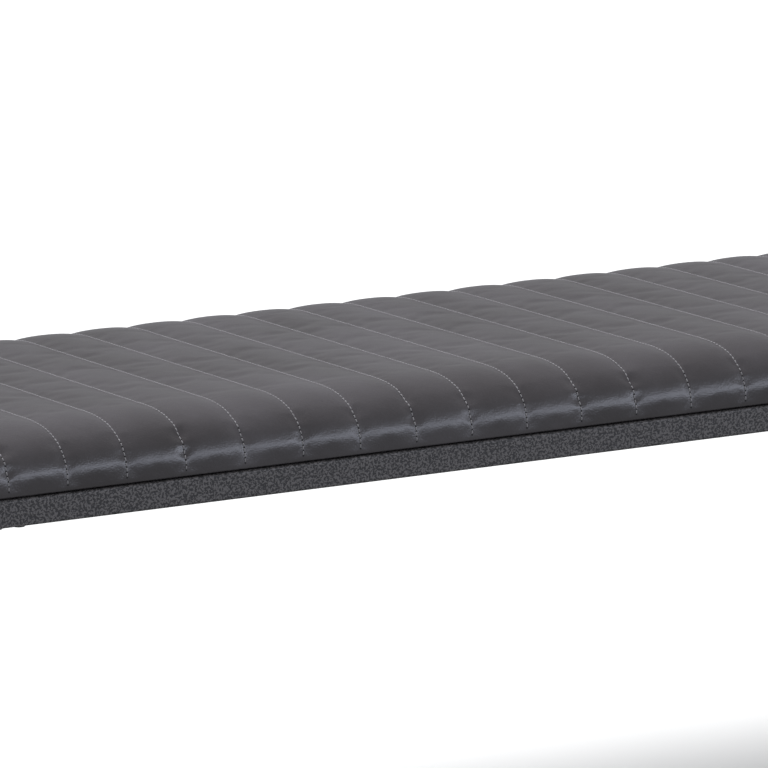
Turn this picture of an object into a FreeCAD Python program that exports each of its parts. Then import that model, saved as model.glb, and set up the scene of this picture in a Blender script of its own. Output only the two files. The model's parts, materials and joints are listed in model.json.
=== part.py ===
import FreeCAD, Part
import os
import Sketcher

# An upholstered bench: a channel-stitched leather pad on a frame of square steel tube, with
# four screw-adjustable feet. Millimetres. X runs along the bench, Y towards its back and Z up.
# The origin is on the floor under the bench's centre.

doc = FreeCAD.newDocument("channelled_bench")
sheet = doc.addObject("Spreadsheet::Sheet", "dims")

DIMENSIONS = {
    # whole bench
    "channel_pitch": 60,
    "channel_count": 24,
    "bench_depth": 456,
    "bench_height": 470,
    # pad, from its underside up
    "pad_height": 54,
    "pad_rounding": 50,
    "pad_corner": 12,
    "dust_cover_thick": 0.6,
    "dust_cover_margin": 8,
    "leather_thick": 1.4,
    "leather_turn_under": 50,
    "wadding_thick": 3,
    "board_thick": 15,
    "stitch_gap": 0.15,
    "stitch_thick": 0.8,
    "stitch_width": 1.2,
    # frame
    "tube_size": 25,
    "tube_wall": 2,
    "tube_corner": 2.5,
    "cross_spacing": 360,
    "stretcher_lift": 92,
    "bead_leg": 3,
    "bead_length": 18,
    # fixings
    "bolt_from_end": 53,
    "bolt_pair_gap": 23,
    "cross_bolt_span": 280,
    "bolt_radius": 3,
    "bolt_length": 40,
    "bolt_head_radius": 6.5,
    "bolt_head_height": 2.2,
    "bolt_socket_radius": 2.3,
    "bolt_socket_deep": 1.5,
    "bolt_hole_radius": 3.4,
    "insert_radius": 4.5,
    "insert_fit": 0.05,
    "insert_length": 12,
    "insert_bore": 3.05,
    "staple_crown": 10,
    "staple_wire": 0.6,
    "staple_width": 1.2,
    "staple_reach": 8,
    "staple_pitch": 60,
    "cover_staple_inset": 34,
    "dust_staple_inset": 14,
    # feet
    "foot_pad_radius": 12.5,
    "foot_pad_thick": 4,
    "foot_base_radius": 12,
    "foot_base_top_radius": 8,
    "foot_base_rim": 4,
    "foot_base_dome": 2,
    "stem_radius": 3.9,
    "stem_bore": 4,
    "stem_reach": 28,
    "stem_tip": 1,
    "stem_tip_radius": 3.1,
    "socket_deep": 4,
    "socket_gap": 0.05,
    "collar_radius": 7.5,
    "collar_thick": 5,
    "collar_gap": 0.3,
    "stop_gap": 0.5,
    "plug_flange": 2,
    "plug_size": 20.8,
    "plug_reach": 18,
    "bushing_radius": 6,
    "bushing_fit": 0.03,
}
for row, (alias, value) in enumerate(DIMENSIONS.items(), start=1):
    sheet.set(f"A{row}", alias)
    sheet.set(f"B{row}", str(value))
    sheet.setAlias(f"B{row}", alias)
doc.recompute()


class Size:
    """A length worked out from the sheet: its number now, and the expression that follows it."""

    def __init__(self, number, text):
        self.number = number
        self.text = text

    def join(self, other, sign, number):
        return Size(number, f"({self.text} {sign} {other.text})")

    def __add__(self, other):
        return self.join(other, "+", self.number + other.number)

    def __sub__(self, other):
        return self.join(other, "-", self.number - other.number)

    def __mul__(self, other):
        return self.join(other, "*", self.number * other.number)

    def __truediv__(self, other):
        return self.join(other, "/", self.number / other.number)

    def __neg__(self):
        return Size(-self.number, f"(0 - {self.text})")


def cell(alias):
    return Size(float(sheet.get(alias)), f"dims.{alias}")


def plain(number):
    return Size(float(number), str(number))


ZERO = plain(0)
HALF = plain(0.5)
TWO = plain(2)

# Shared heights and distances
half_length = cell("channel_pitch") * cell("channel_count") * HALF
half_depth = cell("bench_depth") * HALF
tube = cell("tube_size")
half_tube = tube * HALF
rail_top = cell("bench_height") - cell("pad_height")
rail_bottom = rail_top - tube
flange_bottom = rail_top + cell("dust_cover_thick")
board_bottom = flange_bottom + cell("leather_thick")
board_top = board_bottom + cell("board_thick")
pad_top = cell("bench_height")
leg_x = half_length - half_tube
leg_y = half_depth - half_tube
inner_y = half_depth - tube
inner_x = half_length - tube
base_top = cell("foot_pad_thick") + cell("foot_base_rim") + cell("foot_base_dome")
collar_bottom = base_top + cell("collar_gap")
plug_bottom = collar_bottom + cell("collar_thick") + cell("stop_gap")
leg_bottom = plug_bottom + cell("plug_flange")
bolt_outer_x = half_length - cell("bolt_from_end")
bolt_inner_x = bolt_outer_x - cell("bolt_pair_gap")
cross_bolt_y = cell("cross_bolt_span") * HALF

ENDS = {"left": -1, "right": 1}
SIDES = {"front": -1, "back": 1}
CROSS_PLACES = {"left": -1, "centre": 0, "right": 1}


def signed(size, sign):
    """The same distance on the side of the centre that sign gives."""
    return {-1: -size, 0: ZERO, 1: size}[sign]


# ---------------------------------------------------------------- document helpers

subparts = []


def finish(feature, node):
    """Name a finished sub-part, which is then checked and written."""
    feature.Label = node
    subparts.append(feature)
    return feature


def bind(feature, prop, size):
    feature.setExpression(prop, size.text)


def place(feature, x, y, z, turn=None):
    if turn is not None:
        feature.Placement = FreeCAD.Placement(FreeCAD.Vector(), turn)
    bind(feature, "Placement.Base.x", x)
    bind(feature, "Placement.Base.y", y)
    bind(feature, "Placement.Base.z", z)


def block(name, width, depth, height, x, y, z):
    """A box centred on x and y, standing on z."""
    box = doc.addObject("Part::Box", name)
    bind(box, "Length", width)
    bind(box, "Width", depth)
    bind(box, "Height", height)
    place(box, x - width * HALF, y - depth * HALF, z)
    return box


def rod(name, radius, height, x, y, z):
    cylinder = doc.addObject("Part::Cylinder", name)
    bind(cylinder, "Radius", radius)
    bind(cylinder, "Height", height)
    place(cylinder, x, y, z)
    return cylinder


def taper(name, lower_radius, upper_radius, height, x, y, z):
    cone = doc.addObject("Part::Cone", name)
    bind(cone, "Radius1", lower_radius)
    bind(cone, "Radius2", upper_radius)
    bind(cone, "Height", height)
    place(cone, x, y, z)
    return cone


def hexagon(name, radius, height, x, y, z):
    prism = doc.addObject("Part::Prism", name)
    prism.Polygon = 6
    bind(prism, "Circumradius", radius)
    bind(prism, "Height", height)
    place(prism, x, y, z)
    return prism


def cut(name, base, tool):
    feature = doc.addObject("Part::Cut", name)
    feature.Base = base
    feature.Tool = tool
    return feature


def common(name, first, second):
    feature = doc.addObject("Part::Common", name)
    feature.Base = first
    feature.Tool = second
    return feature


def fuse(name, pieces):
    feature = doc.addObject("Part::MultiFuse", name)
    feature.Shapes = pieces
    return feature


def group(name, pieces):
    feature = doc.addObject("Part::Compound", name)
    feature.Links = pieces
    return feature


def copy_of(name, original, x, y, z, turn=None):
    """One more of a piece, at its own place."""
    link = doc.addObject("App::Link", name)
    link.LinkedObject = original
    link.LinkTransform = True
    place(link, x, y, z, turn)
    return link


def new_body(name):
    return doc.addObject("PartDesign::Body", name)


def new_sketch(body, role):
    """A sketch on one of the body's own origin planes."""
    sketch = body.newObject("Sketcher::SketchObject", f"{body.Name}_sketch")
    support = [item for item in body.Origin.OriginFeatures if item.Role == role]
    sketch.AttachmentSupport = [(support[0], "")]
    sketch.MapMode = "FlatFace"
    return sketch


def hold(sketch, kind, geometry, point, distance):
    row = sketch.addConstraint(Sketcher.Constraint(kind, -1, 1, geometry, point, distance.number))
    sketch.setExpression(f"Constraints[{row}]", distance.text)


def outline(sketch, corners):
    """A closed outline of straight lines, each corner held at its distances from the origin."""
    first = sketch.GeometryCount
    count = len(corners)
    for index, corner in enumerate(corners):
        following = corners[(index + 1) % count]
        start = FreeCAD.Vector(corner[0].number, corner[1].number, 0)
        end = FreeCAD.Vector(following[0].number, following[1].number, 0)
        sketch.addGeometry(Part.LineSegment(start, end), False)
    for index, corner in enumerate(corners):
        edge = first + index
        following = first + (index + 1) % count
        sketch.addConstraint(Sketcher.Constraint("Coincident", edge, 2, following, 1))
        hold(sketch, "DistanceX", edge, 1, corner[0])
        hold(sketch, "DistanceY", edge, 1, corner[1])


def rectangle(sketch, width, height):
    """A rectangle centred on the sketch's origin."""
    right = width * HALF
    top = height * HALF
    outline(sketch, [(-right, -top), (right, -top), (right, top), (-right, top)])


def circle(sketch, radius, x, y):
    centre = FreeCAD.Vector(x.number, y.number, 0)
    round_line = Part.Circle(centre, FreeCAD.Vector(0, 0, 1), radius.number)
    geometry = sketch.addGeometry(round_line, False)
    row = sketch.addConstraint(Sketcher.Constraint("Radius", geometry, radius.number))
    sketch.setExpression(f"Constraints[{row}]", radius.text)
    hold(sketch, "DistanceX", geometry, 3, x)
    hold(sketch, "DistanceY", geometry, 3, y)


def pad(body, sketch, length, both_ways=False, downwards=False):
    feature = body.newObject("PartDesign::Pad", f"{body.Name}_pad")
    feature.Profile = sketch
    feature.SideType = "Symmetric" if both_ways else "One side"
    feature.Reversed = downwards
    bind(feature, "Length", length)
    return feature


def pocket(body, sketch):
    """Cut the sketch right through the body, both ways, and make sure that it cut something."""
    doc.recompute()
    before = body.Shape.Volume
    feature = body.newObject("PartDesign::Pocket", f"{body.Name}_pocket")
    feature.Profile = sketch
    feature.Type = "ThroughAll"
    feature.SideType = "Symmetric"
    doc.recompute()
    if body.Shape.Volume >= before - 1e-3:
        raise RuntimeError(f"a pocket of {body.Name} cuts nothing")
    return feature


def straight_edges(shape, direction, longer_than=0.0):
    """Names of the shape's straight edges that run along a direction."""
    names = []
    for number, edge in enumerate(shape.Edges, start=1):
        if edge.Curve.TypeId != "Part::GeomLine" or edge.Length <= longer_than:
            continue
        if abs(edge.Curve.Direction.dot(direction)) > 0.999:
            names.append(f"Edge{number}")
    return names


def rounded(body, base, edge_names, radius):
    feature = body.newObject("PartDesign::Fillet", f"{body.Name}_fillet")
    feature.Base = (base, edge_names)
    bind(feature, "Radius", radius)
    doc.recompute()
    return feature


X_AXIS = FreeCAD.Vector(1, 0, 0)
Y_AXIS = FreeCAD.Vector(0, 1, 0)
Z_AXIS = FreeCAD.Vector(0, 0, 1)

# ---------------------------------------------------------------- frame of square tube

ACROSS = {"x": ("YZ_Plane", X_AXIS), "y": ("XZ_Plane", Y_AXIS), "z": ("XY_Plane", Z_AXIS)}


def square_tube(node, along, length):
    """A body of square tube with rounded corners, centred on its own origin."""
    body = new_body(node)
    role, direction = ACROSS[along]
    outer = new_sketch(body, role)
    rectangle(outer, tube, tube)
    bar = pad(body, outer, length, both_ways=True)
    doc.recompute()
    rounded(body, bar, straight_edges(bar.Shape, direction), cell("tube_corner"))
    inner = new_sketch(body, role)
    bore = tube - cell("tube_wall") * TWO
    rectangle(inner, bore, bore)
    pocket(body, inner)
    return body


def mitre_ends(body, along, half):
    """Cut both ends at 45 degrees, so that the tube is full length on its outer side only."""
    sketch = new_sketch(body, "XY_Plane")
    past = half + tube
    for end in (-1, 1):
        tip = (signed(half - tube, end), half_tube)
        root = (signed(half, end), -half_tube)
        corners = [root, tip, (signed(past, end), half_tube), (signed(past, end), -half_tube)]
        if along == "y":
            corners = [(across, run) for run, across in corners]
        outline(sketch, corners)
    pocket(body, sketch)


def bolt_holes(body, places):
    sketch = new_sketch(body, "XY_Plane")
    for x, y in places:
        circle(sketch, cell("bolt_hole_radius"), x, y)
    pocket(body, sketch)


rail_bolt_x = [signed(x, end) for end in ENDS.values() for x in (bolt_outer_x, bolt_inner_x)]

half_turn = FreeCAD.Rotation(Z_AXIS, 180)
for side, sign in SIDES.items():
    rail = square_tube(f"{side}_rail", "x", half_length * TWO)
    mitre_ends(rail, "x", half_length)
    bolt_holes(rail, [(x, ZERO) for x in rail_bolt_x])
    facing = half_turn if sign > 0 else None
    place(rail, ZERO, signed(leg_y, sign), rail_top - half_tube, facing)
    finish(rail, f"{side}_rail")

for end, sign in ENDS.items():
    end_rail = square_tube(f"{end}_end_rail", "y", half_depth * TWO)
    mitre_ends(end_rail, "y", half_depth)
    facing = half_turn if sign > 0 else None
    place(end_rail, signed(leg_x, sign), ZERO, rail_top - half_tube, facing)
    finish(end_rail, f"{end}_end_rail")

for where, sign in CROSS_PLACES.items():
    cross = square_tube(f"cross_member_{where}", "y", inner_y * TWO)
    bolt_holes(cross, [(ZERO, signed(cross_bolt_y, side)) for side in SIDES.values()])
    place(cross, signed(cell("cross_spacing"), sign), ZERO, rail_top - half_tube)
    finish(cross, f"cross_member_{where}")

leg_length = rail_bottom - leg_bottom
for side, side_sign in SIDES.items():
    for end, end_sign in ENDS.items():
        leg = square_tube(f"{side}_{end}_leg", "z", leg_length)
        place(leg, signed(leg_x, end_sign), signed(leg_y, side_sign), leg_bottom + leg_length * HALF)
        finish(leg, f"{side}_{end}_leg")

stretcher_centre = cell("stretcher_lift") + half_tube
for end, sign in ENDS.items():
    stretcher = square_tube(f"{end}_end_stretcher", "y", inner_y * TWO)
    place(stretcher, signed(leg_x, sign), ZERO, stretcher_centre)
    finish(stretcher, f"{end}_end_stretcher")

# Fillet welds: one triangular bead, its right angle on its own origin, and a copy in each corner
bead = new_body("weld_bead")
bead_sketch = new_sketch(bead, "XZ_Plane")
bead_leg = cell("bead_leg")
outline(bead_sketch, [(ZERO, ZERO), (bead_leg, ZERO), (ZERO, bead_leg)])
pad(bead, bead_sketch, cell("bead_length"), both_ways=True)

beads = []


def weld(x, y, z, away, up):
    """A bead in the corner at x, y, z, between the face it leaves along away and the one along up."""
    turn = FreeCAD.Rotation(away, up.cross(away), up, "XZY")
    beads.append(copy_of(f"bead_{len(beads) + 1}", bead, x, y, z, turn))


stretcher_faces = ((cell("stretcher_lift") + tube, Z_AXIS), (cell("stretcher_lift"), -Z_AXIS))
for side_sign in SIDES.values():
    inwards_y = Y_AXIS * -side_sign
    for end_sign in ENDS.values():
        inwards_x = X_AXIS * -end_sign
        corner_x = signed(leg_x, end_sign)
        for height, up in stretcher_faces:
            weld(corner_x, signed(inner_y, side_sign), height, inwards_y, up)
        weld(corner_x, signed(inner_y, side_sign), rail_bottom, inwards_y, -Z_AXIS)
        weld(signed(inner_x, end_sign), signed(leg_y, side_sign), rail_bottom, inwards_x, -Z_AXIS)
    for cross_sign in CROSS_PLACES.values():
        cross_x = signed(cell("cross_spacing"), cross_sign)
        for face_sign in (-1, 1):
            face_x = cross_x + signed(half_tube, face_sign)
            middle_z = rail_top - half_tube
            weld(face_x, signed(inner_y, side_sign), middle_z, inwards_y, X_AXIS * face_sign)
finish(group("weld_beads", beads), "weld_beads")

# ---------------------------------------------------------------- pad


def pad_shape(name, inset, bottom):
    """The pad's outer form drawn in by inset: rounded over the top, square to its underside."""
    body = new_body(name)
    sketch = new_sketch(body, "XY_Plane")
    rectangle(sketch, (half_length - inset) * TWO, (half_depth - inset) * TWO)
    slab = pad(body, sketch, pad_top - inset - bottom)
    doc.recompute()
    top_names = []
    for number, edge in enumerate(slab.Shape.Edges, start=1):
        if edge.BoundBox.ZMin > slab.Shape.BoundBox.ZMax - 1e-6:
            top_names.append(f"Edge{number}")
    over = rounded(body, slab, top_names, cell("pad_rounding") - inset)
    corner_names = straight_edges(over.Shape, Z_AXIS)
    for number, edge in enumerate(over.Shape.Edges, start=1):
        box = edge.BoundBox
        if min(box.XLength, box.YLength, box.ZLength) > 5:
            corner_names.append(f"Edge{number}")
    rounded(body, over, corner_names, cell("pad_corner") - inset)
    place(body, ZERO, ZERO, bottom)
    return body


def upright_holes(name, places, radius, bottom, height):
    """Rods for cutting the same hole at every bolt."""
    rods = [rod(f"{name}_{n}", radius, height, x, y, bottom) for n, (x, y) in enumerate(places, 1)]
    return group(name, rods)


rail_bolt_places = [(x, signed(leg_y, side)) for side in SIDES.values() for x in rail_bolt_x]
cross_bolt_places = []
for cross_sign in CROSS_PLACES.values():
    for side_sign in SIDES.values():
        cross_bolt_places.append((signed(cell("cross_spacing"), cross_sign), signed(cross_bolt_y, side_sign)))
bolt_places = rail_bolt_places + cross_bolt_places

leather = cell("leather_thick")
wadding_inset = leather
core_inset = leather + cell("wadding_thick")
over_top = pad_top - flange_bottom

# Leather cover: the skin over the top and sides, turned in under the board all round
leather_outside = pad_shape("leather_outside", ZERO, flange_bottom)
leather_inside = pad_shape("leather_inside", wadding_inset, board_bottom)
leather_skin = cut("leather_skin", leather_outside, leather_inside)
turn_under = cell("leather_turn_under") * TWO
under_opening = block("under_opening", half_length * TWO - turn_under, half_depth * TWO - turn_under,
                      leather * TWO, ZERO, ZERO, flange_bottom - leather * HALF)
leather_open = cut("leather_open", leather_skin, under_opening)
flange_holes = upright_holes("flange_holes", rail_bolt_places, cell("bolt_hole_radius"),
                             flange_bottom - leather * HALF, leather * TWO)
finish(cut("leather_cover", leather_open, flange_holes), "leather_cover")

# Seam stitching: a thin line of thread over the leather on every seam between two channels
thread_inside = pad_shape("thread_inside", -cell("stitch_gap"), flange_bottom)
thread_outside = pad_shape("thread_outside", -(cell("stitch_gap") + cell("stitch_thick")), flange_bottom)
thread_layer = cut("thread_layer", thread_outside, thread_inside)
seam_slabs = []
seam_count = DIMENSIONS["channel_count"] - 1
for seam in range(1, seam_count + 1):
    seam_x = cell("channel_pitch") * plain(seam) - half_length
    seam_slabs.append(block(f"seam_slab_{seam}", cell("stitch_width"), half_depth * TWO + tube,
                            over_top + tube, seam_x, ZERO, flange_bottom))
finish(common("seam_stitching", thread_layer, group("seam_slabs", seam_slabs)), "seam_stitching")

# Quilt wadding: the soft layer between the leather and the foam, down to the board's underside
wadding_outside = pad_shape("wadding_outside", wadding_inset, board_bottom)
wadding_inside = pad_shape("wadding_inside", core_inset, board_bottom)
finish(cut("quilt_wadding", wadding_outside, wadding_inside), "quilt_wadding")

# Seat board and foam core share one outer form and meet at the board's top
core_for_board = pad_shape("core_for_board", core_inset, board_bottom)
board_layer = block("board_layer", half_length * TWO, half_depth * TWO, cell("board_thick"),
                    ZERO, ZERO, board_bottom)
board_blank = common("board_blank", core_for_board, board_layer)
board_holes = upright_holes("board_holes", bolt_places, cell("insert_radius") + cell("insert_fit"),
                            board_bottom - leather, cell("board_thick") + leather * TWO)
finish(cut("seat_board", board_blank, board_holes), "seat_board")

core_for_foam = pad_shape("core_for_foam", core_inset, board_bottom)
foam_layer = block("foam_layer", half_length * TWO, half_depth * TWO, pad_top - board_top,
                   ZERO, ZERO, board_top)
finish(common("foam_core", core_for_foam, foam_layer), "foam_core")

# Dust cover: the black cloth under the pad, between it and the rails
margin = cell("dust_cover_margin") * TWO
dust_body = new_body("dust_cloth")
dust_sketch = new_sketch(dust_body, "XY_Plane")
rectangle(dust_sketch, half_length * TWO - margin, half_depth * TWO - margin)
pad(dust_body, dust_sketch, cell("dust_cover_thick"))
bolt_holes(dust_body, bolt_places)
place(dust_body, ZERO, ZERO, rail_top)
finish(dust_body, "dust_cover")

# ---------------------------------------------------------------- fixings

# Threaded inserts in the board
insert_blank = rod("insert_blank", cell("insert_radius"), cell("insert_length"), ZERO, ZERO, ZERO)
insert_bore = rod("insert_bore", cell("insert_bore"), cell("insert_length"), ZERO, ZERO, ZERO)
insert = cut("insert", insert_blank, insert_bore)
inserts = []
for number, (x, y) in enumerate(bolt_places, start=1):
    inserts.append(copy_of(f"insert_{number}", insert, x, y, board_bottom))
finish(group("threaded_inserts", inserts), "threaded_inserts")

# Bolts with a low round head and a hexagon socket, head down
bolt_head = cell("bolt_head_height")
head_rim = bolt_head * HALF
head_crown_radius = cell("bolt_head_radius") - head_rim
bolt_blank = fuse("bolt_blank", [
    taper("bolt_crown", head_crown_radius, cell("bolt_head_radius"), head_rim, ZERO, ZERO, ZERO),
    rod("bolt_rim", cell("bolt_head_radius"), bolt_head - head_rim, ZERO, ZERO, head_rim),
    rod("bolt_shank", cell("bolt_radius"), cell("bolt_length"), ZERO, ZERO, bolt_head),
])
bolt_socket = hexagon("bolt_socket", cell("bolt_socket_radius"), cell("bolt_socket_deep"),
                      ZERO, ZERO, ZERO)
bolt = cut("bolt", bolt_blank, bolt_socket)
for node, places in (("rail_bolts", rail_bolt_places), ("cross_member_bolts", cross_bolt_places)):
    bolts = []
    for number, (x, y) in enumerate(places, start=1):
        bolts.append(copy_of(f"{node}_{number}", bolt, x, y, rail_bottom - bolt_head))
    finish(group(node, bolts), node)

# Staples: a wire bridge with two legs, crown down
staple = new_body("staple")
staple_sketch = new_sketch(staple, "XZ_Plane")
wire = cell("staple_wire")
crown = cell("staple_crown") * HALF
reach = cell("staple_reach")
outline(staple_sketch, [
    (-crown, ZERO), (crown, ZERO), (crown, reach), (crown - wire, reach),
    (crown - wire, wire), (wire - crown, wire), (wire - crown, reach), (-crown, reach),
])
pad(staple, staple_sketch, cell("staple_width"), both_ways=True)
quarter_turn = FreeCAD.Rotation(Z_AXIS, 90)


def staple_row(node, inset, height):
    """Staples all round the pad's underside, at one distance in from its edge."""
    copies = []
    pitch = cell("staple_pitch")
    along_x = int((half_length.number - inset.number) // pitch.number)
    for step in range(-along_x + 1, along_x):
        for sign in SIDES.values():
            x = pitch * plain(step + 0.5)
            copies.append(copy_of(f"{node}_x{len(copies)}", staple, x, signed(half_depth - inset, sign), height))
    along_y = int((half_depth.number - inset.number) // pitch.number)
    for step in range(-along_y + 1, along_y):
        for sign in ENDS.values():
            y = pitch * plain(step)
            copies.append(copy_of(f"{node}_y{len(copies)}", staple, signed(half_length - inset, sign), y,
                                  height, quarter_turn))
    finish(group(node, copies), node)


staple_row("cover_staples", cell("cover_staple_inset"), flange_bottom)
staple_row("dust_cover_staples", cell("dust_staple_inset"), rail_top)

# ---------------------------------------------------------------- adjustable feet

# Plastic plug in the foot of each leg, with a flange under the tube and a steel bushing in it
plug = new_body("plug")
plug_sketch = new_sketch(plug, "XY_Plane")
rectangle(plug_sketch, cell("plug_size"), cell("plug_size"))
pad(plug, plug_sketch, cell("plug_reach"))
flange_sketch = new_sketch(plug, "XY_Plane")
rectangle(flange_sketch, tube, tube)
pad(plug, flange_sketch, cell("plug_flange"), downwards=True)
plug_bore_sketch = new_sketch(plug, "XY_Plane")
circle(plug_bore_sketch, cell("bushing_radius"), ZERO, ZERO)
pocket(plug, plug_bore_sketch)

bushing_length = cell("plug_reach") + cell("plug_flange")
bushing_blank = rod("bushing_blank", cell("bushing_radius") - cell("bushing_fit"), bushing_length,
                    ZERO, ZERO, ZERO)
bushing_bore = rod("bushing_bore", cell("stem_bore"), bushing_length, ZERO, ZERO, ZERO)
bushing = cut("bushing", bushing_blank, bushing_bore)

plugs = []
bushings = []
for side, side_sign in SIDES.items():
    for end, end_sign in ENDS.items():
        corner = f"{side}_{end}"
        x = signed(leg_x, end_sign)
        y = signed(leg_y, side_sign)
        plugs.append(copy_of(f"plug_{corner}", plug, x, y, leg_bottom))
        bushings.append(copy_of(f"bushing_{corner}", bushing, x, y, plug_bottom))

        finish(rod(f"foot_pad_{corner}", cell("foot_pad_radius"), cell("foot_pad_thick"), x, y, ZERO),
               f"foot_pad_{corner}")

        rim = rod(f"base_rim_{corner}", cell("foot_base_radius"), cell("foot_base_rim"), x, y,
                  cell("foot_pad_thick"))
        dome = taper(f"base_dome_{corner}", cell("foot_base_radius"), cell("foot_base_top_radius"),
                     cell("foot_base_dome"), x, y, base_top - cell("foot_base_dome"))
        socket = rod(f"base_socket_{corner}", cell("stem_bore"), cell("socket_deep"), x, y,
                     base_top - cell("socket_deep"))
        base_blank = fuse(f"base_blank_{corner}", [rim, dome])
        finish(cut(f"foot_base_{corner}", base_blank, socket), f"foot_base_{corner}")

        stem_bottom = base_top - cell("socket_deep") + cell("socket_gap")
        stem_top = plug_bottom + cell("stem_reach")
        shaft = rod(f"stem_shaft_{corner}", cell("stem_radius"), stem_top - stem_bottom, x, y, stem_bottom)
        tip = taper(f"stem_point_{corner}", cell("stem_radius"), cell("stem_tip_radius"),
                    cell("stem_tip"), x, y, stem_top)
        collar = hexagon(f"stem_collar_{corner}", cell("collar_radius"), cell("collar_thick"), x, y,
                         collar_bottom)
        finish(fuse(f"foot_stem_{corner}", [shaft, tip, collar]), f"foot_stem_{corner}")
finish(group("leg_plugs", plugs), "leg_plugs")
finish(group("plug_bushings", bushings), "plug_bushings")

# ---------------------------------------------------------------- check and write

doc.recompute()
for item in doc.Objects:
    if "Invalid" in item.State or "Error" in item.State:
        raise RuntimeError(f"{item.Name} did not compute: {item.State}")
os.makedirs("parts", exist_ok=True)
for part in subparts:
    shape = part.Shape
    if shape.isNull() or not shape.isValid() or not shape.Solids:
        raise RuntimeError(f"{part.Label} has no sound solid")
    shape.exportStep(f"parts/{part.Label}.step")
    print(f"{part.Label}: {len(shape.Solids)} solids, {shape.Volume / 1000:.1f} cm3")
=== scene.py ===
import json
import math
import bpy
import numpy as np
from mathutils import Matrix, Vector
from mathutils.bvhtree import BVHTree


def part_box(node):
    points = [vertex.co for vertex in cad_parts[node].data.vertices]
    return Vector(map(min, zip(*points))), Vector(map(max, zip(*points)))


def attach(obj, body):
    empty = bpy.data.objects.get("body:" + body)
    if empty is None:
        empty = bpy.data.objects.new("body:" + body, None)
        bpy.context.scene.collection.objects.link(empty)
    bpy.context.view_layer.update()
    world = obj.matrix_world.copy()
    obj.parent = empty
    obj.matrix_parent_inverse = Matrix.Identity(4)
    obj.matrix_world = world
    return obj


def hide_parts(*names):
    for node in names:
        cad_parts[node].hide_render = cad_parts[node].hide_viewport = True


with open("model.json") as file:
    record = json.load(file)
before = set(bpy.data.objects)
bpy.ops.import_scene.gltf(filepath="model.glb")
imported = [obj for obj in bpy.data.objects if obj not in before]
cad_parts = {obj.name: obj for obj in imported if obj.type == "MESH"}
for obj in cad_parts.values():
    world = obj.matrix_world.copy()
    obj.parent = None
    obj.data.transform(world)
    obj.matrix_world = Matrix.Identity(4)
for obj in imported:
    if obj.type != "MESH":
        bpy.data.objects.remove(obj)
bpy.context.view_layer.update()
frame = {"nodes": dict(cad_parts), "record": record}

# A channel-stitched leather bench on a charcoal square-tube frame. Metres, in the CAD's frame.

MM = 0.001
TINY = 1e-9                   # keeps a division away from zero
BODY = "bench"
pad_low, pad_high = (Vector(corner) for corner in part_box("leather_cover"))
rail_low, rail_high = (Vector(corner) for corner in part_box("front_rail"))
RAIL_TOP = rail_high.z
RAIL_BOTTOM = rail_low.z

rng = np.random.default_rng(7)


# ------------------------------------------------------------------ helpers

def new_piece(name, points, faces, body, slot, *materials, smooth=True):
    """A mesh piece that rides on a body and takes the materials it is given; its slot is not used."""
    mesh = bpy.data.meshes.new(name)
    mesh.from_pydata([tuple(point) for point in points], [], [tuple(face) for face in faces])
    mesh.validate()
    mesh.update()
    for polygon in mesh.polygons:
        polygon.use_smooth = smooth
    piece = bpy.data.objects.new(name, mesh)
    bpy.context.scene.collection.objects.link(piece)
    for material in materials:
        mesh.materials.append(material)
    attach(piece, body)
    return piece


def evaluated(piece):
    """World points and polygons of a piece with its modifiers applied."""
    graph = bpy.context.evaluated_depsgraph_get()
    shown = piece.evaluated_get(graph)
    mesh = shown.to_mesh()
    points = [vertex.co.copy() for vertex in mesh.vertices]
    polygons = [tuple(polygon.vertices) for polygon in mesh.polygons]
    shown.to_mesh_clear()
    return points, polygons


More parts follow.
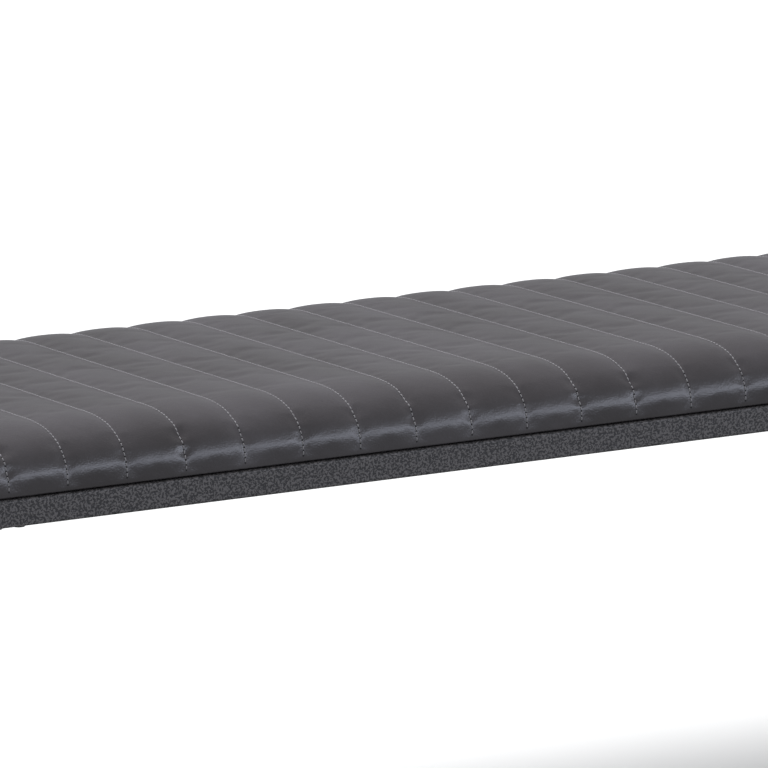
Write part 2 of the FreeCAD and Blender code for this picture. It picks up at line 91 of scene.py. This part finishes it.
class Nodes:
    """A short way to write a material's node tree."""

    def __init__(self, name):
        self.material = bpy.data.materials.new(name)
        self.material.use_nodes = True
        self.tree = self.material.node_tree
        self.shader = self.tree.nodes["Principled BSDF"]
        self.position = self.add("ShaderNodeTexCoord").outputs["Object"]

    def add(self, kind, **settings):
        node = self.tree.nodes.new(kind)
        for name, value in settings.items():
            setattr(node, name, value)
        return node

    def link(self, source, target):
        self.tree.links.new(source, target)

    def feed(self, socket, value):
        if isinstance(value, bpy.types.NodeSocket):
            self.link(value, socket)
        else:
            socket.default_value = value

    def noise(self, scale, detail=2.0, rough=0.5, distortion=0.0, at=None):
        node = self.add("ShaderNodeTexNoise")
        self.link(at or self.position, node.inputs["Vector"])
        node.inputs["Scale"].default_value = scale
        node.inputs["Detail"].default_value = detail
        node.inputs["Roughness"].default_value = rough
        node.inputs["Distortion"].default_value = distortion
        return node.outputs["Fac"]

    def cells(self, scale):
        node = self.add("ShaderNodeTexVoronoi", feature="F1")
        self.link(self.position, node.inputs["Vector"])
        node.inputs["Scale"].default_value = scale
        return node.outputs["Distance"]

    def stretch(self, x, y, z):
        node = self.add("ShaderNodeVectorMath", operation="MULTIPLY")
        self.link(self.position, node.inputs[0])
        node.inputs[1].default_value = (x, y, z)
        return node.outputs["Vector"]

    def maths(self, operation, first, second):
        node = self.add("ShaderNodeMath", operation=operation)
        self.feed(node.inputs[0], first)
        self.feed(node.inputs[1], second)
        return node.outputs["Value"]

    def sum(self, first, second):
        return self.maths("ADD", first, second)

    def times(self, first, second):
        return self.maths("MULTIPLY", first, second)

    def range(self, value, low, high, to_low, to_high):
        node = self.add("ShaderNodeMapRange")
        self.feed(node.inputs["Value"], value)
        limits = {"From Min": low, "From Max": high, "To Min": to_low, "To Max": to_high}
        for name, number in limits.items():
            node.inputs[name].default_value = number
        return node.outputs["Result"]

    def blend(self, factor, first, second):
        node = self.add("ShaderNodeMix", data_type="RGBA")
        self.feed(node.inputs["Factor"], factor)
        for socket, colour in ((node.inputs[6], first), (node.inputs[7], second)):
            self.feed(socket, colour if isinstance(colour, bpy.types.NodeSocket) else (*colour, 1.0))
        return node.outputs[2]

    def bump(self, height, distance, strength=1.0, over=None):
        node = self.add("ShaderNodeBump")
        self.link(height, node.inputs["Height"])
        node.inputs["Distance"].default_value = distance
        node.inputs["Strength"].default_value = strength
        if over is not None:
            self.link(over, node.inputs["Normal"])
        return node.outputs["Normal"]

    def set(self, **values):
        """Shader inputs by name, with spaces written as underscores."""
        for name, value in values.items():
            socket = self.shader.inputs[name.replace("_", " ")]
            if isinstance(value, tuple) and len(value) == 3:
                value = (*value, 1.0)
            self.feed(socket, value)
        return self.material


# ------------------------------------------------------------------ materials

def leather_material():
    """Waxed grey leather: cloudy and streaked in tone, darker in its pores, softly creased."""
    n = Nodes("grey_leather")
    cloud = n.noise(9, detail=5, rough=0.55)
    streak = n.noise(3.2, detail=3, rough=0.6, at=n.stretch(2.4, 1.0, 1.0))
    patch = n.sum(n.times(cloud, 0.6), n.times(streak, 0.4))
    tone = n.blend(n.range(patch, 0.36, 0.64, 0, 1), (0.053, 0.047, 0.051), (0.090, 0.083, 0.092))
    pore = n.cells(620)
    fine = n.noise(1500, detail=3)
    speck = n.range(n.noise(420, detail=4, rough=0.7), 0.42, 0.7, 0, 0.35)
    colour = n.blend(speck, tone, (0.050, 0.045, 0.048))
    grain = n.sum(n.range(pore, 0.0, 0.6, 0.0, 1.0), n.times(fine, 0.5))
    creases = n.noise(70, detail=4, rough=0.6, distortion=0.6)
    soft = n.bump(creases, 0.0011, 0.35)
    normal = n.bump(grain, 0.00022, 0.45, over=soft)
    return n.set(Base_Color=colour, Roughness=n.range(cloud, 0.3, 0.7, 0.28, 0.37), Normal=normal,
                 Specular_IOR_Level=0.5)


def thread_material():
    """Pale grey thread with the twist of its strands."""
    n = Nodes("grey_thread")
    strands = n.noise(2600, detail=2)
    colour = n.blend(strands, (0.26, 0.25, 0.265), (0.44, 0.43, 0.455))
    return n.set(Base_Color=colour, Roughness=0.6, Normal=n.bump(strands, 0.00008, 0.6),
                 Sheen_Weight=0.2)


def painted_hole_shade_material():
    # Painted shade: near-black discs standing for the shade inside the needle holes.
    n = Nodes("needle_hole_painted_shade")
    colour = n.blend(n.noise(800), (0.006, 0.005, 0.005), (0.014, 0.012, 0.012))
    return n.set(Base_Color=colour, Roughness=0.9)


def coat_material():
    """Powder coat that has wrinkled into worm-like ridges two or three millimetres long, its ridges
    painted pale as painted highlight and its valleys near black as painted shade.
    """
    n = Nodes("wrinkle_coat")
    field = n.noise(500, detail=0.6, rough=0.5, distortion=0.7)
    ridge = n.range(field, 0.44, 0.56, 0.0, 1.0)
    broad = n.noise(14, detail=3)
    painted_valley_shade = n.blend(broad, (0.010, 0.009, 0.010), (0.017, 0.015, 0.016))
    # Painted light: the ridges' pale colour is painted highlight and the valleys' dark colour is painted
    # shade.
    colour = n.blend(ridge, painted_valley_shade, (0.150, 0.140, 0.145))
    fine = n.noise(1900, detail=2)
    normal = n.bump(ridge, 0.00028, 0.8, over=n.bump(fine, 0.00005, 0.4))
    return n.set(Base_Color=colour, Roughness=n.range(ridge, 0, 1, 0.62, 0.48), Normal=normal)


def black_steel_material():
    n = Nodes("black_steel")
    worn = n.noise(240, detail=5, rough=0.65)
    colour = n.blend(n.range(worn, 0.45, 0.7, 0, 1), (0.012, 0.012, 0.013), (0.045, 0.043, 0.043))
    return n.set(Base_Color=colour, Metallic=0.7, Roughness=n.range(worn, 0.3, 0.7, 0.3, 0.5),
                 Normal=n.bump(worn, 0.00004, 0.5))


def zinc_material():
    n = Nodes("zinc_plate")
    cloud = n.noise(300, detail=4)
    colour = n.blend(cloud, (0.42, 0.43, 0.46), (0.62, 0.62, 0.60))
    return n.set(Base_Color=colour, Metallic=1.0, Roughness=n.range(cloud, 0.3, 0.7, 0.22, 0.38),
                 Normal=n.bump(n.noise(900, detail=3), 0.00003, 0.4))


def plastic_material():
    n = Nodes("black_nylon")
    cast = n.noise(700, detail=3)
    colour = n.blend(n.noise(30), (0.014, 0.014, 0.015), (0.022, 0.022, 0.024))
    return n.set(Base_Color=colour, Roughness=n.range(cast, 0.3, 0.7, 0.4, 0.55),
                 Normal=n.bump(cast, 0.00006, 0.5))


def rubber_material():
    n = Nodes("foot_rubber")
    dust = n.noise(160, detail=4)
    colour = n.blend(n.range(dust, 0.5, 0.75, 0, 1), (0.020, 0.020, 0.020), (0.055, 0.052, 0.050))
    return n.set(Base_Color=colour, Roughness=0.82,
                 Normal=n.bump(n.noise(1100, detail=3), 0.00008, 0.6))


def plywood_material():
    n = Nodes("birch_plywood")
    grain = n.noise(26, detail=6, rough=0.65, at=n.stretch(1.0, 14.0, 60.0))
    colour = n.blend(grain, (0.42, 0.27, 0.14), (0.62, 0.45, 0.27))
    return n.set(Base_Color=colour, Roughness=0.7, Normal=n.bump(grain, 0.0002, 0.5))


def dust_cloth_material():
    """Spun-bonded cloth: a felt of fine fibres, point bonded in a small diamond grid."""
    n = Nodes("dust_cloth")
    fibre = n.noise(900, detail=4, rough=0.7, at=n.stretch(1.0, 0.35, 1.0))
    points = n.cells(430)
    colour = n.blend(fibre, (0.010, 0.010, 0.011), (0.034, 0.034, 0.037))
    height = n.sum(fibre, n.range(points, 0.0, 0.45, 0.0, 1.0))
    return n.set(Base_Color=colour, Roughness=0.9, Normal=n.bump(height, 0.00012, 0.7), Sheen_Weight=0.15)


def wadding_material():
    n = Nodes("white_wadding")
    fibre = n.noise(500, detail=5, rough=0.75)
    colour = n.blend(fibre, (0.70, 0.70, 0.68), (0.88, 0.88, 0.87))
    return n.set(Base_Color=colour, Roughness=0.95, Normal=n.bump(fibre, 0.0006, 0.7))


def foam_material():
    n = Nodes("cream_foam")
    pores = n.cells(900)
    # Painted shade: the foam is darker in its pores, as the shade inside them.
    colour = n.blend(n.range(pores, 0.0, 0.5, 0, 1), (0.38, 0.33, 0.19), (0.72, 0.67, 0.46))
    return n.set(Base_Color=colour, Roughness=0.9, Normal=n.bump(pores, 0.0005, 0.7))


leather = leather_material()
thread = thread_material()
hole_shade = painted_hole_shade_material()
coat = coat_material()
black_steel = black_steel_material()
zinc = zinc_material()
nylon = plastic_material()
rubber = rubber_material()
plywood = plywood_material()
dust_cloth = dust_cloth_material()
wadding = wadding_material()
foam = foam_material()

SLOT_MATERIALS = {
    "leather": leather, "thread": thread, "wadding": wadding, "foam": foam, "plywood": plywood,
    "dust_cloth": dust_cloth, "frame_coat": coat, "black_steel": black_steel, "zinc_steel": zinc,
    "black_plastic": nylon, "foot_rubber": rubber,
}
for entry in frame["record"]["subparts"]:
    node = frame["nodes"][entry["node"]]
    node.data.materials.clear()
    node.data.materials.append(SLOT_MATERIALS[entry["material_slot"]])

# ------------------------------------------------------------------ the pad's form

CHANNELS = 24
HALF_LENGTH = (pad_high.x - pad_low.x) / 2
HALF_DEPTH = (pad_high.y - pad_low.y) / 2
PITCH = 2 * HALF_LENGTH / CHANNELS
PAD_BOTTOM = RAIL_TOP + 0.9 * MM
WAIST = PAD_BOTTOM + 3.0 * MM
TOP = pad_high.z
END_ROUND = 50 * MM           # how far in the ends are rounded
SIDE_ROUND = 79 * MM          # how far in the front and back are rounded
ROUND_POWER = 2.6             # fuller than an ellipse
CORNER_POWER = 9.0            # how square the corners are, seen from above
PUFF = 2.3 * MM               # how far a channel stands out between its seams
LOBE_POWER = 2.4              # how full a channel is beside its seams
LOBE_FADE = 14 * MM           # the channels begin this far above the lower edge
END_LOBE = 0.6                # the end channels stay part full where they have no seam
DRIFT = 1.3 * MM              # how far the seams wander to each side
DRIFT_WAVE = 0.57             # length of bench over which they wander once to and fro
DRIFT_START = 0.46            # how far left of the middle a wave begins
DRIFT_FADE = 0.12             # length at each end over which the wandering dies out
SIDE_ROWS = 20                # rows of points across the rounding at the front, and at the back
TOP_ROWS = 50                 # rows across the flat of the top
HEIGHT_ROWS = 15              # rows up each side

# Columns across one channel, closer together beside the seams
CHANNEL_STEPS = (0.0, 0.030, 0.075, 0.145, 0.24, 0.36, 0.5, 0.64, 0.76, 0.855, 0.925, 0.970)


def seam_drift(x):
    """Hand-sewn seams wander from their even pitch by about a millimetre."""
    return DRIFT * np.sin((x + DRIFT_START) * math.tau / DRIFT_WAVE)


def channel_columns():
    columns = []
    for channel in range(CHANNELS):
        for step in CHANNEL_STEPS:
            columns.append(-HALF_LENGTH + (channel + step) * PITCH)
    columns.append(HALF_LENGTH)
    return np.array(columns)


columns = channel_columns()
across = np.concatenate([
    -HALF_DEPTH + SIDE_ROUND * np.linspace(0, 1, SIDE_ROWS)[:-1],
    np.linspace(-(HALF_DEPTH - SIDE_ROUND), HALF_DEPTH - SIDE_ROUND, TOP_ROWS),
    HALF_DEPTH - SIDE_ROUND * np.linspace(1, 0, SIDE_ROWS)[1:],
])
heights = WAIST + (TOP - WAIST) * np.linspace(0, 1, HEIGHT_ROWS)
# Rows under the waist, the innermost first: (how far in, height)
TUCK = (
    (48 * MM, PAD_BOTTOM),
    (14 * MM, PAD_BOTTOM),
    (3.2 * MM, PAD_BOTTOM),
    (0.9 * MM, PAD_BOTTOM + 0.8 * MM),
)


def rounded_box(x, y, z):
    """Moves points of the pad's box onto its rounded form."""
    in_x = np.clip(x, -(HALF_LENGTH - END_ROUND), HALF_LENGTH - END_ROUND)
    in_y = np.clip(y, -(HALF_DEPTH - SIDE_ROUND), HALF_DEPTH - SIDE_ROUND)
    dx, dy, dz = x - in_x, y - in_y, z - WAIST
    plan = (np.abs(dx) / END_ROUND) ** CORNER_POWER + (np.abs(dy) / SIDE_ROUND) ** CORNER_POWER
    reach = plan ** (ROUND_POWER / CORNER_POWER) + (np.abs(dz) / (TOP - WAIST)) ** ROUND_POWER
    scale = 1.0 / reach ** (1.0 / ROUND_POWER)
    return np.stack([in_x + dx * scale, in_y + dy * scale, WAIST + dz * scale], axis=-1)


def pad_lattice():
    """Points, quads and box places of the pad's skin, with each point's number and the rim's."""
    nx, ny, nz = len(columns), len(across), len(heights)
    number = -np.ones((nx, ny, nz), dtype=int)
    shell = np.zeros((nx, ny, nz), dtype=bool)
    shell[[0, -1]] = True
    shell[:, [0, -1]] = True
    shell[:, :, -1] = True
    number[shell] = np.arange(shell.sum())
    ix, iy, iz = np.nonzero(shell)
    places = np.stack([columns[ix], across[iy], heights[iz]], axis=-1)
    points = rounded_box(places[:, 0], places[:, 1], places[:, 2])
    quads = []

    def sheet_of(grid, flip):
        a, b, c, d = grid[:-1, :-1], grid[1:, :-1], grid[1:, 1:], grid[:-1, 1:]
        order = (a, d, c, b) if flip else (a, b, c, d)
        quads.append(np.stack([corner.ravel() for corner in order], axis=-1))

    sheet_of(number[:, :, -1], False)
    sheet_of(number[:, 0, :], False)
    sheet_of(number[:, -1, :], True)
    sheet_of(number[0, :, :], True)
    sheet_of(number[-1, :, :], False)
    rim = np.concatenate([number[:, 0, 0], number[-1, 1:, 0], number[-2::-1, -1, 0],
                          number[0, -2:0:-1, 0]])
    return points, np.concatenate(quads), places, number, rim


points, quads, places, number, rim = pad_lattice()
seam_columns = [channel * len(CHANNEL_STEPS) for channel in range(1, CHANNELS)]


def surface_normals(points, quads):
    normals = np.zeros_like(points)
    a, b, c, d = (points[quads[:, corner]] for corner in range(4))
    face = np.cross(c - a, d - b)
    for corner in range(4):
        np.add.at(normals, quads[:, corner], face)
    return normals / np.maximum(np.linalg.norm(normals, axis=1, keepdims=True), TINY)


def smooth_step(value, low, high):
    t = np.clip((value - low) / (high - low), 0, 1)
    return t * t * (3 - 2 * t)


def puffed(points, normals):
    """The skin drawn out between its seams by a formula, which the simulation starts from."""
    phase = (places[:, 0] + HALF_LENGTH) / PITCH
    share = phase - np.floor(phase)
    lobe = 1 - np.abs(2 * share - 1) ** LOBE_POWER
    end_channel = (phase < 1) | (phase > CHANNELS - 1)
    seam_half = (phase < 1) == (share > 0.5)
    lobe = np.where(end_channel & ~seam_half, END_LOBE, lobe)
    hold = smooth_step(points[:, 2], WAIST, WAIST + LOBE_FADE)
    return points + normals * (PUFF * lobe * hold)[:, None]


CLOTH_FRAMES = 20
SWELL_CAP = 1.3 * MM          # the furthest that the cloth may move a point


def hold_seams_and_rim(cloth_object, point_count):
    """Pins the seams, the lower edge and the point under the pad that closes the cloth."""
    held = np.zeros(point_count, dtype=bool)
    for column in seam_columns:
        line = number[column]
        held[line[line >= 0]] = True
    held[rim] = True
    held[-1] = True
    pins = cloth_object.vertex_groups.new(name="held")
    pins.add(np.nonzero(held)[0].tolist(), 1.0, "REPLACE")


def simulated(points, quads):
    """Cloth under pressure, held along its seams and its lower edge, swells into the channels."""
    rim_count = len(rim)
    middle = len(points)
    closed = np.vstack([points, [[0, 0, PAD_BOTTOM]]])
    bottom = [(rim[(step + 1) % rim_count], rim[step], middle) for step in range(rim_count)]
    mesh = bpy.data.meshes.new("pad_cloth")
    mesh.from_pydata(closed.tolist(), [], quads.tolist() + bottom)
    mesh.update()
    cloth_object = bpy.data.objects.new("pad_cloth", mesh)
    bpy.context.scene.collection.objects.link(cloth_object)
    hold_seams_and_rim(cloth_object, len(closed))
    cloth = cloth_object.modifiers.new("swell", "CLOTH")
    settings = cloth.settings
    settings.quality = 6
    settings.mass = 0.4
    settings.tension_stiffness = 25
    settings.compression_stiffness = 25
    settings.shear_stiffness = 12
    settings.bending_stiffness = 2.0
    settings.use_pressure = True
    settings.uniform_pressure_force = 4.0
    settings.shrink_min = -0.004
    settings.vertex_group_mass = "held"
    settings.effector_weights.gravity = 0
    cloth.collision_settings.use_collision = False
    scene = bpy.context.scene
    cloth.point_cache.frame_start = 1
    cloth.point_cache.frame_end = CLOTH_FRAMES
    for step in range(1, CLOTH_FRAMES + 1):
        scene.frame_set(step)
    swollen, _ = evaluated(cloth_object)
    scene.frame_set(1)
    bpy.data.objects.remove(cloth_object, do_unlink=True)
    moved = np.array([tuple(point) for point in swollen])[:len(points)] - points
    reach = np.linalg.norm(moved, axis=1, keepdims=True)
    return points + moved * np.minimum(1.0, SWELL_CAP / np.maximum(reach, TINY))


GATHER_WAVE = 15 * MM         # from one gather to the next, down the edge
GATHER_WIDTH = 6 * MM         # how far a gather reaches to each side of its seam


def puckered(skin):
    """Small gathers beside each seam where it goes over the front and back edges."""
    phase = (places[:, 0] + HALF_LENGTH) / PITCH
    beside = np.abs(phase - np.round(phase)) * PITCH
    sewn = (np.round(phase) > 0) & (np.round(phase) < CHANNELS)
    over_edge = smooth_step(skin[:, 2], WAIST + 8 * MM, WAIST + 22 * MM)
    over_edge *= smooth_step(np.abs(skin[:, 1]), HALF_DEPTH - 42 * MM, HALF_DEPTH - 12 * MM)
    gather = np.sin(skin[:, 2] * math.tau / GATHER_WAVE + np.round(phase) * 2.4)
    strength = 0.55 + 0.45 * np.sin(np.round(phase) * 1.7 + 0.6)
    dent = (gather - 0.9) * np.exp(-(beside / GATHER_WIDTH) ** 2) - 0.1
    return skin + normals * (MM * dent * over_edge * strength * sewn)[:, None]


def wandering(skin):
    """Moves the seams along their drift, and everything between them too, but not the ends."""
    moved = skin.copy()
    from_end = HALF_LENGTH - np.abs(skin[:, 0])
    moved[:, 0] += seam_drift(places[:, 0]) * smooth_step(from_end, 0, DRIFT_FADE)
    return moved


normals = surface_normals(points, quads)
skin = puffed(points, normals)
skin = simulated(skin, quads)
skin = wandering(puckered(skin))


def with_tuck(skin, quads):
    """Adds the lower edge, rolled in over the rail, and the leather turned under the board."""
    loop = skin[rim]
    ahead = np.roll(loop, -1, axis=0) - np.roll(loop, 1, axis=0)
    outwards = np.stack([ahead[:, 1], -ahead[:, 0], np.zeros(len(loop))], axis=-1)
    outwards /= np.linalg.norm(outwards, axis=1, keepdims=True)
    all_points = [skin]
    all_faces = quads.tolist()
    upper = rim
    start = len(skin)
    for inset, height in reversed(TUCK):
        row = loop - outwards * inset
        row[:, 2] = height
        all_points.append(row)
        lower = np.arange(start, start + len(rim))
        for step in range(len(rim)):
            following = (step + 1) % len(rim)
            all_faces.append((lower[step], lower[following], upper[following], upper[step]))
        upper = lower
        start += len(rim)
    return np.vstack(all_points), all_faces


pad_points, pad_faces = with_tuck(skin, quads)
leather_pad = new_piece("leather_pad", pad_points, pad_faces, BODY, "leather", leather)
rounding = leather_pad.modifiers.new("rounding", "SUBSURF")
rounding.levels = 1
rounding.render_levels = 1
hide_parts("leather_cover", "quilt_wadding", "foam_core")

# ------------------------------------------------------------------ stitches

STITCH_PITCH = 4.6 * MM
STITCH_LENGTH = 3.6 * MM
STITCH_RADIUS = 0.58 * MM
STITCH_CROWN = 0.272 * MM     # height of a stitch's middle over the leather
STITCH_DIVE = 2.08 * MM       # how quickly its ends go down from there
STITCH_LEAN = 0.05 * MM       # how unevenly the stitches lie
STITCH_SECTIONS = np.linspace(-0.5, 0.5, 5)
STITCH_SIDES = 6
HOLE_RADIUS = 0.75 * MM
HOLE_SIDES = 8
HOLE_LONG = 1.3               # a hole's length over its width
HOLE_LIFT = 0.25 * MM
STEEP = 0.8                   # the painted hole shade shows only where the skin faces up by less than this share
PROBE = 6 * MM                # the search for the pad's surface starts this far outside it
PROBE_REACH = 14 * MM


def seam_path(column, surface):
    """Points, outward directions and run of one seam of the pad, front edge to back edge."""
    front = [number[column, 0, k] for k in range(1, len(heights))]
    top = [number[column, j, -1] for j in range(1, len(across) - 1)]
    back = [number[column, -1, k] for k in range(len(heights) - 1, 0, -1)]
    chain = front + top + back
    path = []
    for index in chain:
        start = Vector(skin[index]) + Vector(normals[index]) * PROBE
        place = surface.ray_cast(start, -Vector(normals[index]), PROBE_REACH)[0]
        path.append(np.array(Vector(skin[index]) if place is None else place))
    spots = np.array(path)
    ups = normals[chain]
    run = np.concatenate([[0], np.cumsum(np.linalg.norm(np.diff(spots, axis=0), axis=1))])
    return spots, ups, run


def add_hole_shade_disc(points_out, faces_out, centre, along, side):
    """A small flat round disc in painted shade, standing for the dark of the hole where the thread goes
    down between two stitches.
    """
    base = len(points_out)
    for corner in range(HOLE_SIDES):
        angle = corner * math.tau / HOLE_SIDES
        offset = along * math.cos(angle) * HOLE_LONG + side * math.sin(angle)
        points_out.append(centre + offset * HOLE_RADIUS)
    faces_out.append(tuple(range(base, base + HOLE_SIDES)))


def add_stitch(points_out, faces_out, line, side, up, lean):
    """A short thick thread that dives into its needle holes at both ends."""
    base = len(points_out)
    for spot, share in zip(line, STITCH_SECTIONS):
        rise = STITCH_CROWN - STITCH_DIVE * share * share
        centre = spot + up * rise + side * lean * share * 4
        thick = STITCH_RADIUS * (1.0 - 0.9 * abs(share) ** 3)
        for corner in range(STITCH_SIDES):
            angle = corner * math.tau / STITCH_SIDES
            points_out.append(centre + (side * math.cos(angle) + up * math.sin(angle)) * thick)
    last = base + (len(line) - 1) * STITCH_SIDES
    for ring in range(base, last, STITCH_SIDES):
        for corner in range(STITCH_SIDES):
            a = ring + corner
            b = ring + (corner + 1) % STITCH_SIDES
            faces_out.append((a, b, b + STITCH_SIDES, a + STITCH_SIDES))
    faces_out.append(tuple(base + corner for corner in reversed(range(STITCH_SIDES))))
    faces_out.append(tuple(last + corner for corner in range(STITCH_SIDES)))


def unit(vector):
    return vector / np.linalg.norm(vector)


def along_path(where, run, values):
    """The three-part value at a distance along a path."""
    return np.array([np.interp(where, run, values[:, axis]) for axis in range(3)])


def stitch_rows(surface):
    """The points and faces of every stitch and every needle hole."""
    points_out, faces_out = [], []
    hole_shade_points, hole_shade_faces = [], []
    for column in seam_columns:
        spots, ups, run = seam_path(column, surface)
        total = run[-1]
        count = int(total / STITCH_PITCH)
        for stitch in range(count):
            middle = (stitch + 0.5) * total / count
            lean = rng.normal(0, STITCH_LEAN)
            line = np.array([along_path(middle + share * STITCH_LENGTH, run, spots)
                             for share in STITCH_SECTIONS])
            up = unit(along_path(middle, run, ups))
            along = unit(line[-1] - line[0])
            side = np.cross(along, up)
            # The discs are painted shade, put only on the steep faces where the holes look dark.
            if up[2] < STEEP:
                centre = line[0] - along * HOLE_RADIUS + up * HOLE_LIFT
                add_hole_shade_disc(hole_shade_points, hole_shade_faces, centre, along, side)
            add_stitch(points_out, faces_out, line, side, up, lean)
    return points_out, faces_out, hole_shade_points, hole_shade_faces


bpy.context.view_layer.update()
pad_surface = BVHTree.FromPolygons(*evaluated(leather_pad))
stitch_points, stitch_faces, hole_shade_points, hole_shade_faces = stitch_rows(pad_surface)
stitches = new_piece("seam_stitches", stitch_points, stitch_faces, BODY, "thread", thread)
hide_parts("seam_stitching")
# Painted shade: flat dark discs for the shade in the needle holes.
new_piece("hole_shade_discs", hole_shade_points, hole_shade_faces, BODY, "leather", hole_shade, smooth=False)

# ------------------------------------------------------------------ dust cover

SHEET_ROWS = (181, 57)
SHEET_THICK = 0.4 * MM
SHEET_LIFT = 0.3 * MM         # from the CAD cover's underside to the middle of the cloth
SAG = 2.2 * MM
RIPPLE = 0.5 * MM
END_HELD = 17 * MM            # from the cloth's end to its row of staples
EDGE_FLAT = 26 * MM           # the cloth lies flat this far in from the pad's edge
SAG_EDGE = 27 * MM            # and its sag grows from this far in


def dust_sheet():
    """Cloth stapled flat round its edge, sagging a little between the cross members."""
    low, high = (Vector(corner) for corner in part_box("dust_cover"))
    xs, ys = (np.linspace(low[axis], high[axis], SHEET_ROWS[axis]) for axis in range(2))
    cross_x = [sum(corner[0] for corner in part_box(f"cross_member_{where}")) / 2
               for where in ("left", "centre", "right")]
    holders = np.array([low.x + END_HELD, *cross_x, high.x - END_HELD])
    gx, gy = np.meshgrid(xs, ys, indexing="ij")
    between = np.interp(gx, holders, np.arange(len(holders)))
    free_x = np.abs(np.sin(between * math.pi)) ** 1.3
    free_y = np.clip(1 - (np.abs(gy) / (HALF_DEPTH - SAG_EDGE)) ** 2, 0, 1)
    wave = RIPPLE * np.sin(gx * 61 + gy * 23) * np.sin(gy * 47 - gx * 19)
    sag = free_x * free_y * (SAG + wave)
    inside = (np.abs(gx) < HALF_LENGTH - EDGE_FLAT) & (np.abs(gy) < HALF_DEPTH - EDGE_FLAT)
    gz = low.z + SHEET_LIFT - np.where(inside, sag, 0)
    sheet_points = np.stack([gx, gy, gz], axis=-1).reshape(-1, 3)
    rows = len(ys)
    faces = [(i * rows + j, i * rows + j + 1, (i + 1) * rows + j + 1, (i + 1) * rows + j)
             for i in range(len(xs) - 1) for j in range(rows - 1)]
    piece = new_piece("dust_sheet", sheet_points, faces, BODY, "dust_cloth", dust_cloth)
    thicken = piece.modifiers.new("thickness", "SOLIDIFY")
    thicken.thickness = SHEET_THICK
    thicken.offset = 0.0
    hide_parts("dust_cover")


dust_sheet()

# ------------------------------------------------------------------ stage

FLOOR_REACH = 40.0


def add_floor():
    """A pale matt floor that catches the shadow and lights nothing back."""
    mesh = bpy.data.meshes.new("floor")
    corners = [(-FLOOR_REACH, -FLOOR_REACH, 0), (FLOOR_REACH, -FLOOR_REACH, 0),
               (FLOOR_REACH, FLOOR_REACH, 0), (-FLOOR_REACH, FLOOR_REACH, 0)]
    mesh.from_pydata(corners, [], [(0, 1, 2, 3)])
    floor = bpy.data.objects.new("floor", mesh)
    bpy.context.scene.collection.objects.link(floor)
    paint = Nodes("pale_floor")
    colour = paint.blend(paint.noise(3), (0.90, 0.90, 0.90), (0.92, 0.92, 0.92))
    mesh.materials.append(paint.set(Base_Color=colour, Roughness=0.9, Specular_IOR_Level=0.1))
    floor.visible_glossy = False
    floor.visible_diffuse = False


def add_world():
    world = bpy.data.worlds.new("studio")
    bpy.context.scene.world = world
    world.use_nodes = True
    background = world.node_tree.nodes["Background"]
    background.inputs["Color"].default_value = (0.95, 0.97, 1.0, 1.0)
    background.inputs["Strength"].default_value = 0.40


def add_overhead():
    """A very wide, soft light from above and behind, which leaves no shine of its own."""
    light = bpy.data.lights.new("overhead", "SUN")
    light.energy = 3.5
    light.angle = math.radians(70)
    lamp = bpy.data.objects.new("overhead", light)
    lamp.rotation_euler = (math.radians(-30), 0, 0)
    lamp.visible_glossy = False
    bpy.context.scene.collection.objects.link(lamp)


def add_front_strip():
    """A long cool strip that lights nothing but shine, such as the pad's front edge."""
    light = bpy.data.lights.new("front_strip", "AREA")
    light.shape = "RECTANGLE"
    light.size, light.size_y = 9.0, 1.2
    light.energy = 170
    light.color = (0.80, 0.85, 1.0)
    lamp = bpy.data.objects.new("front_strip", light)
    place, aim = Vector((2.3, -3.7, 1.25)), Vector((0, -0.2, 0.45))
    lamp.location = place
    lamp.rotation_euler = (aim - place).to_track_quat("-Z", "Y").to_euler()
    lamp.visible_camera = False
    lamp.visible_diffuse = False
    bpy.context.scene.collection.objects.link(lamp)


add_floor()
add_world()
add_overhead()
add_front_strip()

# Camera: a long lens, looking down the bench from its front left
YAW = math.radians(32.1)
PITCH_DOWN = math.radians(11.0)
SENSOR_WIDTH = 36             # mm, as the lens is
LENS = 377.67
TARGET = Vector((-0.274, pad_low.y, RAIL_BOTTOM + 0.0886))
DISTANCE = 7.224
FAR_CLIP = 200
forward = Vector((math.sin(YAW) * math.cos(PITCH_DOWN), math.cos(YAW) * math.cos(PITCH_DOWN),
                  -math.sin(PITCH_DOWN)))
camera_data = bpy.data.cameras.new("camera")
camera_data.sensor_width = SENSOR_WIDTH
camera_data.lens = LENS
camera_data.clip_end = FAR_CLIP
camera = bpy.data.objects.new("camera", camera_data)
camera.location = TARGET - forward * DISTANCE
camera.rotation_euler = forward.to_track_quat("-Z", "Y").to_euler()
bpy.context.scene.collection.objects.link(camera)
bpy.context.scene.camera = camera
bpy.context.scene.view_settings.view_transform = "Standard"
